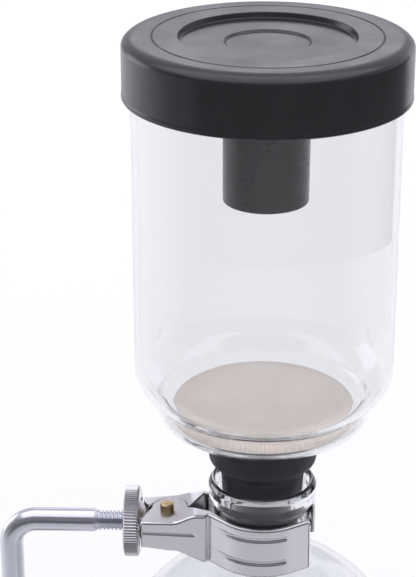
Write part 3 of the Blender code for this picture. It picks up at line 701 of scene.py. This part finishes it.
def press_jaw(name, stations, grooves, body, surface, node):
    """Skins the sections of a jaw into one sheet and gives it its thickness."""
    bm = bmesh.new()
    rows = []
    for station in stations:
        x, y = station["at"]
        ix, iy = station["inward"]
        section = strip_section(station, grooves)
        rows.append([bm.verts.new((x + ix * u, y + iy * u, z)) for u, z in section])
    for row, after in zip(rows, rows[1:]):
        for k in range(len(row) - 1):
            bm.faces.new([row[k], row[k + 1], after[k + 1], after[k]])
    piece = place(name, bm, body, surface, [node], 42)
    piece.modifiers.clear()
    thick = piece.modifiers.new("sheet", "SOLIDIFY")
    thick.thickness = SHEET * MM
    thick.offset = -1.0
    thick.use_even_offset = False
    soften = piece.modifiers.new("worn_edges", "BEVEL")
    soften.width = 0.15 * MM
    soften.segments = 2
    soften.limit_method = "ANGLE"
    soften.angle_limit = math.radians(60)
    return piece


def pressed_groove(height, start, end, slope, width, depth, fade_in, fade_out):
    """A groove pressed along the sheet between two path lengths, as its depth at (path length, height)."""
    def shape(s, z):
        if not start < s < end:
            return 0.0
        envelope = min(1.0, (s - start) / fade_in) * min(1.0, (end - s) / fade_out)
        offset = abs(z - height - slope * (s - start)) / width
        return depth * envelope * (0.5 + 0.5 * math.cos(math.pi * offset)) if offset < 1 else 0.0

    return shape


def band_grooves(band_start):
    """The two long grooves along a jaw's band."""
    start, end = band_start - 3.0, band_start + 23.8
    return [pressed_groove(height, start, end, slope=0.0, width=1.15, depth=0.52, fade_in=7.0, fade_out=0.6)
            for height in (200.9, 191.6)]


def plate_height(x, y):
    """Height of the clamp's top: both plates lie in one warped surface that rises to the band's rim."""
    front = eased(x, -32.0, -23.2, ARM_TOP + 0.2, BAND_TOP)
    rear = between(x, [(-43.0, 201.9), (-34.0, 202.8), (-30.5, 203.2), (-26.0, 204.4), (-21.5, BAND_TOP)])
    share = max(0.0, min(1.0, (y + JAW_HALF_WIDTH) / (2 * JAW_HALF_WIDTH)))
    return front + (rear - front) * share


def jaw_stations(side, bottom_line, top_edge, bottom_edge, start_angle, end_angle, straight=0.0):
    """Stations along a jaw: its arm, the crease where the arm turns into the band, round the band, and the
    straight end that leaves the round. Returns them with the path length at which the band begins."""
    arm_steps, band_steps, end_steps = 60, 96, 12
    wall, bend_x = side * JAW_HALF_WIDTH, ARM_END - 1.2
    arm = [(TAIL_X + (bend_x - TAIL_X) * i / arm_steps, wall) for i in range(arm_steps)]
    band = arc(BAND_R, start_angle, end_angle, band_steps)
    away = Vector((side * band[-1][1], -side * band[-1][0])) / BAND_R
    last = Vector(band[-1])
    if straight:
        band += [tuple(last + away * straight * k / end_steps) for k in range(1, end_steps + 1)]
    corner = [(bend_x, wall), (ARM_END, wall, 0.5), (CREASE_X, side * CREASE_Y, 0.4), band[0]]
    bend = rounded(corner, 7, False)
    path = arm + bend[:-1] + band
    band_first = len(arm) + len(bend) - 1
    stations = []
    travelled = 0.0
    for i, (x, y) in enumerate(path):
        if i:
            travelled += math.dist(path[i - 1], (x, y))
        turn = max(0.0, min(1.0, (x - CREASE_X) / (band[0][0] - CREASE_X))) if i < band_first else 1.0
        at_band = Vector(band[max(0, min(i - band_first, band_steps))])
        inward = Vector((0.0, -side)).lerp(-at_band / BAND_R, turn).normalized()
        width = max(RIM_WIDTH, (top_edge(x) - y) * -side)
        under = max(RIM_WIDTH, (bottom_edge(x) - y) * -side)
        lift = eased(x, 9.0, 14.0, 0.0, 1.8) if side > 0 else 0.0
        narrowed = min(1.0, 2 * turn)
        stations.append({
            "at": (x, y),
            "inward": (inward.x, inward.y),
            "s": travelled,
            "top": plate_height(x, y) + lift,
            "bottom": bottom_line(x),
            "top_width": width + (RIM_WIDTH - width) * narrowed,
            "bottom_width": under + (RIM_WIDTH - under) * narrowed,
            "surface": (lambda depth, x=x, y=y, way=inward, lift=lift:
                        plate_height(x + way.x * depth, y + way.y * depth) + lift),
        })
    return stations, stations[band_first]["s"]


# The seam where the front plate's round end meets the rear plate, as (x, y).
SEAM = [(-39.6, 1.4), (-39.3, 3.7), (-38.2, 5.4), (-36.4, 6.8), (-34.2, 7.3), (-31.6, 6.8), (-29.6, 5.6),
        (-28.0, 3.6), (-27.1, 1.2), (-26.8, -1.7)]
SEAM_GAP = 0.3


def make_front_jaw(plated):
    """The front jaw: its plate ends round the pin, and its band leaves the round in a straight end."""
    def bottom(x):
        if x < -31.0:
            return eased(x, TAIL_X, -31.0, 191.6, 190.4)
        return eased(x, -32.5, -18.5, 190.6, BAND_BOTTOM)

    def edge(x):
        return between(x, [(TAIL_X, -6.7)] + SEAM + [(-21.9, -4.4), (CREASE_X, -5.4)])

    stations, band_start = jaw_stations(-1, bottom, edge, edge, 227, 303, straight=7.9)
    rib = pressed_groove(198.0, -1.0, 19.2, slope=-0.035, width=0.85, depth=0.42, fade_in=0.5, fade_out=0.8)
    grooves = [rib] + band_grooves(band_start)
    return press_jaw("pressed_front_jaw", stations, grooves, "front_clamp", plated, "front_jaw")


def make_rear_jaw(plated):
    """The rear jaw: its top is flush with the front jaw's, and the lug round the pin is a plate under it."""
    def bottom(x):
        if x > 0:
            return eased(x, 7.0, 13.5, BAND_BOTTOM, 195.2)
        return eased(x, -28.6, -19.5, ARM_BOTTOM + NEST, BAND_BOTTOM)

    def top_edge(x):
        notch = [(TAIL_X, 6.5), (-41.2, 3.3), (-40.4, 3.6), (-39.6, 4.5)]
        beside = [(a + SEAM_GAP * (-1 if a < PIN_X else 1), b + SEAM_GAP) for a, b in SEAM[2:]]
        return between(x, notch + beside + [(-21.0, 8.2), (CREASE_X, 7.0)])

    def under_edge(x):
        return between(x, [(TAIL_X, 8.2), (-40.2, 2.0), (-39.0, -2.0), (-36.5, -5.1), (-34.2, -5.6),
                           (-31.4, -4.8), (-29.3, -1.0), (-28.6, 0.8), (-25.5, 3.8), (-21.5, 7.0),
                           (CREASE_X, 7.0)])

    stations, band_start = jaw_stations(1, bottom, top_edge, under_edge, 133, -8)
    press_jaw("pressed_rear_jaw", stations, band_grooves(band_start), "rear_clamp", plated, "rear_jaw")
    outline = arc(LUG_R, 0, 180, 24, (PIN_X, 0)) + arc(5.6, 180, 360, 24, (PIN_X, 0))
    outline = [(max(x, CONE_HIGH.x + 0.4), y) for x, y in outline]
    high = plate_height(PIN_X, 0) - NEST - 0.5
    bm = bmesh.new()
    close_up(bm, [[bm.verts.new((x, y, z)) for x, y in outline] for z in (high - SHEET, high)])
    place("rear_jaw_lug", bm, "rear_clamp", plated, [], 42)


def make_pin(brass):
    """Brass pin through both jaws, with a wider foot below."""
    low, high, pin_r = PIN_LOW.z, PIN_HIGH.z + 0.4, 2.5
    profile = [(0, low), (3.1, low, 0.5), (3.4, low + 1.1, 0.2), (pin_r, low + 1.1, 0.1)]
    profile += [(pin_r, high - 0.35, 0.35), (1.9, high, 0.5), (0, high + 0.02)]
    pin = lathe(rounded(profile, 5, False), 48, (PIN_X, 0))
    return place("brass_pin", pin, "stand", brass, ["pivot_pin"])


def make_nut(plated):
    """Thumb nut with straight fluting all round, a plain chamfer each side and a cup that takes the cone."""
    start, thick = NUT_LOW.x + 0.1, NUT_HIGH.x - NUT_LOW.x + 0.2
    teeth, tooth_depth, face_r, chamfer_r, cup_depth = 72, 0.55, 11.0, 11.9, 1.1

    def fluted(angle, radius, x):
        crest = 0.5 + 0.5 * math.cos(teeth * angle)
        return radius - tooth_depth * (1 - crest ** 0.7) if radius > 12.0 else radius

    profile = [(THREAD_HOLE_R, 0, 0.5), (face_r, 0, 0.5), (chamfer_r, 0.3, 0.4), (NUT_R, 0.6, 0.3)]
    profile += [(NUT_R, thick - 1.1, 0.3), (chamfer_r, thick - 0.5, 0.4), (face_r, thick, 0.5)]
    profile += [(8.6, thick, 0.3), (8.4, thick - cup_depth, 0.2), (THREAD_HOLE_R, thick - cup_depth, 0.2)]
    nut = onto_x(lathe(rounded(profile, 3), teeth * 8, wobble=fluted), start, ARM_AXIS)
    return place("fluted_nut", nut, "nut", plated, ["thumb_nut"], 30)


def make_cone(steel):
    """Cone on the rod's thread that spreads the jaws' tails."""
    length, wide_r, tip_r = CONE_HIGH.x - CONE_LOW.x, 7.9, 4.6
    profile = [(THREAD_HOLE_R, 0, 0.2), (wide_r, 0, 0.3), (wide_r, 0.55, 0.3), (tip_r, length, 0.3)]
    profile += [(THREAD_HOLE_R, length, 0.1)]
    cone = onto_x(lathe(rounded(profile, 4), 64), CONE_LOW.x, ARM_AXIS)
    return place("spreader_cone", cone, "cone", steel, ["wedge_cone"])


def rod_centres():
    """The rod's centre line as (x, z): foot, leg, bend, arm, thread and the flattened end."""
    bend_r, per_turn, foot = 9.7, 14, ROD_FOOT.z
    step = THREAD_PITCH / per_turn
    centres = [(ROD_X, foot), (ROD_X, foot + 0.5), (ROD_X, BASE_TOP), (ROD_X, BASE_TOP + 0.3)]
    centres += [(ROD_X, 60.0), (ROD_X, 120.0), (ROD_X, 165.0)]
    centres += arc(bend_r, 180, 90, 28, (ROD_X + bend_r, ARM_AXIS - bend_r))
    arm = [-72.0, -64.0, SHOULDER_X - 0.5, SHOULDER_X - 0.12]
    arm += [SHOULDER_X + i * step for i in range(int((THREAD_END_X - SHOULDER_X) / step) + 1)]
    arm += [THREAD_END_X + x for x in (0.5, 0.9, 2.4, 6.0, 9.0)]
    arm += [ROD_TIP_X - 2.4 + 2.4 * math.sin(math.radians(a)) for a in (20, 45, 65, 82)]
    return centres + [(x, ARM_AXIS) for x in arm]


def thread_radius(x, turn):
    """Radius of the screw thread at x, where turn is the share of a turn round the bar."""
    phase = ((x - SHOULDER_X) / THREAD_PITCH - turn) % 1.0
    tooth = abs(2 * phase - 1)
    depth = min(1.0, max(0.0, (tooth - 0.12) / 0.76))
    run_out = min(1.0, max(0.0, (x - SHOULDER_X - 0.2) / 1.2))
    return THREAD_R - 0.75 * depth * run_out - max(0.0, x - THREAD_END_X + 0.8) * 0.6


def flat_end(x, c, s):
    """Offsets across and up of the flattened end's outline, in the direction (c, s) from its centre."""
    reach = max(x - (ROD_TIP_X - 3.8), 0.0)
    wide = min(THREAD_R, 3.7 * max(abs(c), 0.5) ** -0.6) * math.sqrt(max(1 - (reach / 3.85) ** 2, 0.02))
    high = 1.9 * 0.75
    square = max(abs(c) / 0.98, abs(s) / 0.75)
    return wide * c / square, high * s / square


def make_rod(plated):
    """Bent bar with a screw thread cut along its arm and a flattened end for the pin."""
    centres, sides, spigot_r, neck_r = rod_centres(), 72, 3.0, ROD_R - 0.3
    bm = bmesh.new()
    rings = []
    for i, (x, z) in enumerate(centres):
        before, after = centres[max(i - 1, 0)], centres[min(i + 1, len(centres) - 1)]
        ahead = Vector((after[0] - before[0], 0, after[1] - before[1])).normalized()
        across = Vector((0, 1, 0))
        up = ahead.cross(across)
        ring = []
        for k in range(sides):
            angle = 2 * math.pi * k / sides
            c, s = math.cos(angle), math.sin(angle)
            radius = ROD_R
            if z <= BASE_TOP + 0.01:
                radius = spigot_r - (0.4 if z <= ROD_FOOT.z else 0.0)
            elif x > SHOULDER_X - 0.01:
                radius = thread_radius(x, k / sides)
            elif x > SHOULDER_X - 0.2:
                radius = neck_r
            wide, high = flat_end(x, c, s) if x > THREAD_END_X + 0.1 else (radius * c, radius * s)
            ring.append(bm.verts.new(Vector((x, 0, z)) + wide * across + high * up))
        rings.append(ring)
    return place("bent_rod", close_up(bm, rings), "stand", plated, ["support_rod"], 32)


# ---- stand


def make_handle(plastic):
    """Moulded grip: flared foot, a swelling for the palm and a rounded head that the rod comes out of."""
    low, sides, squareness = HANDLE_FOOT, 96, 0.88
    # Each section is (height, shift along X, half width along X, half width along Y).
    sections = [(low, -3.0, 18.4, 16.4), (low + 0.5, -3.0, 19.0, 17.0), (12.5, -3.0, 19.0, 17.0)]
    sections += [(13.6, -3.05, 18.2, 16.2), (15.5, -3.15, 16.4, 14.6), (18.5, -3.3, 15.0, 13.3)]
    sections += [(24.0, -3.5, 14.0, 12.3), (34.0, -3.8, 13.2, 11.4), (48.0, -4.05, 13.5, 11.4)]
    sections += [(60.0, -4.2, 14.0, 11.6), (75.0, -4.4, 14.4, 11.9), (90.0, -4.4, 14.6, 12.0)]
    sections += [(105.0, -4.0, 14.2, 11.8), (120.0, -3.4, 13.2, 11.2), (131.0, -2.7, 12.0, 10.5)]
    sections += [(140.0, -2.0, 10.8, 9.8), (146.0, -1.2, 9.6, 9.1), (149.0, -0.8, 8.8, 8.6)]
    sections += [(151.0, -0.4, 7.8, 7.8), (152.0, -0.2, 6.6, 6.6)]
    sections += [(152.0, 0.0, ROD_R + 0.4, ROD_R + 0.4), (150.0, 0.0, ROD_R + 0.3, ROD_R + 0.3)]
    bm = bmesh.new()
    rings = []
    for z, shift, half_x, half_y in sections:
        ring = []
        for k in range(sides):
            angle = 2 * math.pi * k / sides
            c, s = math.cos(angle), math.sin(angle)
            x = half_x * math.copysign(abs(c) ** squareness, c)
            y = half_y * math.copysign(abs(s) ** squareness, s)
            ring.append(bm.verts.new((ROD_X + shift + x, y, z)))
        rings.append(ring)
    return place("moulded_grip", close_up(bm, rings), "stand", plastic, ["handle_grip"], 45)


def teardrop(bm, inset, z):
    """A ring of vertices along the base's outline, drawn in by inset: two circles joined by tangents."""
    big_r, small_r = 57.0, 28.0
    lean = math.degrees(math.acos((big_r - small_r) / -ROD_X))
    points = arc(big_r - inset, lean - 180, 180 - lean, 96)
    points += arc(small_r - inset, 180 - lean, 180 + lean, 48, (ROD_X, 0))
    return [bm.verts.new((x, y, z)) for x, y in points]


def make_base(plated, rubber):
    """Pressed base with a rolled edge and a shallow step round its top, on a rubber pad."""
    high = BASE_TOP
    edge = [(1.5, 0.8), (0.0, 0.8, 0.3), (0.0, high - 0.2, 2.6), (5.0, high - 0.05, 2.0)]
    edge = rounded(edge + [(6.2, high - 0.75, 0.6), (7.6, high - 0.8)], 8, False)
    bm = bmesh.new()
    close_up(bm, [teardrop(bm, inset, z) for inset, z in edge])
    place("pressed_base", bm, "stand", plated, ["base_plate"], 45)
    pad = bmesh.new()
    close_up(pad, [teardrop(pad, inset, z) for inset, z in ((1.9, 0.0), (1.6, 0.4), (1.6, 0.75))])
    place("rubber_pad", pad, "stand", rubber, ["base_pad"], 45)


# ---- burner


def make_reservoir(glass, rubber):
    """Squat blown reservoir, its mouth closed by a rubber ring."""
    floor, belly_r, inner_r = BURNER_FOOT, 38.0, 35.8
    mouth_r, bore_r, mouth, seal_low, seal_high = 17.0, 15.2, 47.0, 47.3, 48.2
    outer = [(0, floor + 0.6), (24, floor + 0.6, 1.5), (26.0, floor, 1.0), (31.0, floor, 3.0)]
    outer += [(36.6, floor + 2.0, 4.0), (belly_r, floor + 9.0, 8.0), (belly_r, 24.0, 6.0), (34.6, 32.0, 9.0)]
    outer += [(26.0, 37.8, 9.0), (18.4, 40.0, 2.0), (mouth_r, 41.6, 0.8), (mouth_r, mouth, 0.6)]
    inner = [(bore_r, mouth, 0.6), (bore_r, 40.0, 1.6), (23.6, 36.2, 6.0), (32.6, 30.8, 7.0)]
    inner += [(inner_r, 23.4, 5.0), (inner_r, floor + 7.5, 4.5), (32.0, floor + 3.4, 2.5), (0, floor + 3.0)]
    reservoir = lathe(rounded(outer + inner, 7), 144)
    place("reservoir_glass", reservoir, "burner", glass, ["burner_glass"], 60)
    section = [(r, z, 0.2) for r, z in ((bore_r, seal_low), (mouth_r, seal_low), (mouth_r, seal_high),
                                        (bore_r, seal_high))]
    seal = lathe(rounded(section, 3), 64)
    place("sealing_ring", seal, "burner", rubber, ["burner_seal"])


def make_wick_holder(plated, steel, cotton):
    """Fluted collar on the reservoir's mouth, the flanged tube through it and the wick in the tube."""
    collar_r, inner_r, tube_r, tube_bore_r, collar_top = 19.0, 17.4, 4.8, 4.0, 50.4

    def fluted(angle, radius, z):
        return radius - (0.35 * abs(math.sin(30 * angle)) if radius > 18.6 and z < 48.6 else 0.0)

    collar = [(5.1, collar_top, 0.2), (17.6, collar_top, 0.9), (collar_r, 49.4, 0.4), (collar_r, 48.7, 0.1)]
    collar += [(collar_r, 43.1, 0.1), (collar_r, 42.2, 0.4), (inner_r, 42.2, 0.3), (inner_r, 48.5, 0.3)]
    collar += [(5.1, 48.5, 0.2)]
    collar = lathe(rounded(collar, 4), 360, wobble=fluted)
    place("fluted_collar", collar, "burner", plated, ["burner_collar"], 35)
    tube = [(tube_bore_r, 45.0, 0.2), (tube_r, 45.0, 0.2), (tube_r, 50.7, 0.1), (8.0, 50.7, 0.3)]
    tube += [(8.0, 51.4, 0.3), (4.9, 52.0, 0.5), (tube_r, 54.5, 0.3), (tube_bore_r, 54.5, 0.3)]
    place("flanged_wick_tube", lathe(rounded(tube, 4), 64), "burner", steel, ["wick_tube"])

    def strands(angle, radius, z):
        return radius - 0.18 * abs(math.sin(7 * angle + 0.35 * z)) if radius > 1 else radius

    wick = [(0, 12.2), (3.3, 12.2, 0.4)] + [(3.7, 14.0 + k) for k in range(43)]
    wick += [(3.6, 57.4, 0.5), (2.9, 58.1, 0.4), (0, 58.2)]
    wick = lathe(rounded(wick, 3), 84, wobble=strands)
    place("twisted_wick", wick, "burner", cotton, ["burner_wick"], 60)


def make_snuffer(plated):
    """Turned cap with a knob, which smothers the flame."""
    cap_r, inner_r, rim_r, foot, rim_top = 10.8, 9.8, 11.8, 50.7, 51.5
    cap = [(0, 65.0), (2.6, 64.9, 0.8), (3.6, 63.7, 0.9), (3.4, 62.4, 0.7), (2.2, 61.7, 0.5)]
    cap += [(2.6, 61.2, 0.5), (8.4, 60.9, 1.5), (cap_r, 59.4, 1.6), (cap_r, 51.9, 0.4)]
    cap += [(rim_r, rim_top, 0.3), (rim_r, foot, 0.3), (inner_r, foot, 0.3), (inner_r, 58.0, 1.2)]
    cap += [(8.6, 59.6, 1.0), (0, 59.6)]
    place("turned_snuffer", lathe(rounded(cap, 6), 96), "snuffer", plated, ["snuffer_cap"])


# ---- stage, light and camera


def staged(name, bm, surface):
    """Makes a bmesh in metres into a part of the stage, which isn't a piece of the object."""
    mesh = bpy.data.meshes.new(name)
    bm.to_mesh(mesh)
    bm.free()
    mesh.materials.append(surface)
    prop = bpy.data.objects.new(name, mesh)
    bpy.context.scene.collection.objects.link(prop)
    return prop


def make_stage():
    """A round table top, wide enough to fill the view."""
    bm = bmesh.new()
    bmesh.ops.create_circle(bm, cap_ends=True, radius=9.0, segments=64)
    staged("floor", bm, floor_surface())


def add_softbox(name, at, aim, size, power, colour=(1.0, 1.0, 1.0)):
    """Area light of size (across, up) in metres, turned from at towards aim; power is its radiance."""
    data = bpy.data.lights.new(name, "AREA")
    data.shape = "RECTANGLE"
    data.size, data.size_y = size
    data.energy = power * math.pi * size[0] * size[1]
    data.color = colour
    light = bpy.data.objects.new(name, data)
    light.location = at
    light.rotation_euler = (Vector(aim) - Vector(at)).to_track_quat("-Z", "Y").to_euler()
    light.visible_camera = False
    bpy.context.scene.collection.objects.link(light)
    return light


def make_world():
    """Soft room light: brighter behind the object than in front of it."""
    world = bpy.data.worlds.new("studio")
    bpy.context.scene.world = world
    world.use_nodes = True
    nodes, links = world.node_tree.nodes, world.node_tree.links
    background = nodes["Background"]
    direction = nodes.new("ShaderNodeTexCoord").outputs["Generated"]
    split = nodes.new("ShaderNodeSeparateXYZ")
    links.new(direction, split.inputs["Vector"])
    ramp = nodes.new("ShaderNodeMapRange")
    ramp.interpolation_type = "SMOOTHSTEP"
    for socket, value in (("From Min", -0.5), ("From Max", 0.4), ("To Min", 0.25), ("To Max", 0.66)):
        ramp.inputs[socket].default_value = value
    links.new(split.outputs["Y"], ramp.inputs["Value"])
    seen = nodes.new("ShaderNodeLightPath").outputs["Is Camera Ray"]
    pale = nodes.new("ShaderNodeMath")
    pale.operation = "MAXIMUM"
    links.new(ramp.outputs["Result"], pale.inputs[0])
    links.new(seen, pale.inputs[1])
    links.new(pale.outputs["Value"], background.inputs["Strength"])
    background.inputs["Color"].default_value = (0.98, 0.96, 1.06, 1.0)


def make_flag():
    """Dark card curved round the front and right, seen only in reflections, to darken the glossy sides: a
    painted reflection, its faint grey from its own glow.
    """
    radius, start, end, low, high, steps = 0.8, -145, 45, 0.005, 0.4, 24
    bm = bmesh.new()
    rows = []
    for x, y in arc(radius, start, end, steps):
        rows.append([bm.verts.new((x, y, low)), bm.verts.new((x, y, high))])
    for row, after in zip(rows, rows[1:]):
        bm.faces.new([row[0], row[1], after[1], after[0]])
    card = Surface("glowing_reflection_card", (0.01, 0.01, 0.012), 0.9)
    # Painted light: the card glows faintly though it is no lamp, so its reflection shows as a dim grey sheet.
    card.set("Emission Color", (1.0, 0.97, 1.05, 1.0))
    card.set("Emission Strength", 0.13)
    flag = staged("flag", bm, card.material)
    flag.visible_camera = False
    flag.visible_diffuse = False
    flag.visible_transmission = False
    flag.visible_shadow = False


def make_lights():
    """One large light overhead, three behind and beside the object, and a fill that isn't reflected."""
    tint = (0.98, 0.965, 1.05)
    add_softbox("overhead", (0.0, -0.1, 1.7), (0.0, -0.1, 0.0), (3.0, 2.0), 1.1, tint)
    add_softbox("left", (-1.35, 0.75, 0.5), (0.0, 0.0, 0.25), (0.9, 0.9), 1.5, tint)
    add_softbox("back", (-0.05, 3.0, 1.4), (0.0, 0.0, 0.38), (1.4, 0.5), 1.1, tint)
    add_softbox("right", (0.8, 1.2, 0.5), (0.0, 0.0, 0.3), (0.5, 0.7), 0.5, tint)
    fill = add_softbox("fill", (0.3, -1.6, 1.3), (0.0, 0.0, 0.25), (1.8, 1.2), 4.4)
    fill.visible_glossy = False
    fill.visible_transmission = False


def make_camera():
    """Looks down at the upper chamber and the clamp from in front, a little turned to the left."""
    distance, above_top, tilt, turn = 0.5982, 0.165, 23.0, 1.86
    data = bpy.data.cameras.new("camera")
    data.sensor_fit = "AUTO"
    data.sensor_width = 36.0
    data.lens = 118.4
    data.clip_start, data.clip_end = 0.01, 50.0
    camera = bpy.data.objects.new("camera", data)
    camera.location = (0.0, -distance, TOP * MM + above_top)
    camera.rotation_euler = (math.radians(90 - tilt), 0.0, math.radians(turn))
    bpy.context.scene.collection.objects.link(camera)
    bpy.context.scene.camera = camera


def finish_small_steel(steel):
    """The fasteners keep their CAD shapes."""
    for node in ("handle_set_screw", "rod_washer", "rod_nut"):
        frame["nodes"][node].data.materials.clear()
        frame["nodes"][node].data.materials.append(steel)


def let_light_through(glasses):
    """Clear glass throws no shadow, so that what stands behind and inside it stays lit."""
    for piece in bpy.data.objects:
        if piece.type == "MESH" and piece.data.materials and piece.data.materials[0] in glasses:
            piece.visible_shadow = False


def main():
    glass, plated, steel = blown_glass(), plated_steel(), bright_steel()
    rubber, cotton = stopper_rubber(), cotton_cord()
    # Painted shade: the flask's glass is a darker copy of the chamber's blown glass, tinted to stand in for
    # the dimmer light on the flask.
    flask_glass = blown_glass("flask_glass", (0.875, 0.885, 0.89))
    make_chamber(glass)
    make_flask(flask_glass)
    make_lid(lid_plastic())
    make_stopper(rubber)
    make_filter_disc(steel)
    make_cloth(flannel(), make_drawstring(cotton))
    make_filter_pull(steel)
    make_front_jaw(plated)
    make_rear_jaw(plated)
    make_pin(pin_brass())
    make_nut(plated)
    make_cone(steel)
    make_rod(plated_steel("chromed_bar", (0.66, 0.675, 0.73)))
    make_handle(handle_plastic())
    make_base(plated, pad_rubber())
    make_reservoir(glass, rubber)
    make_wick_holder(plated, steel, cotton)
    make_snuffer(plated)
    finish_small_steel(steel)
    let_light_through((glass, flask_glass))
    make_stage()
    make_flag()
    make_world()
    make_lights()
    make_camera()
    bpy.context.scene.view_settings.view_transform = "Standard"


main()
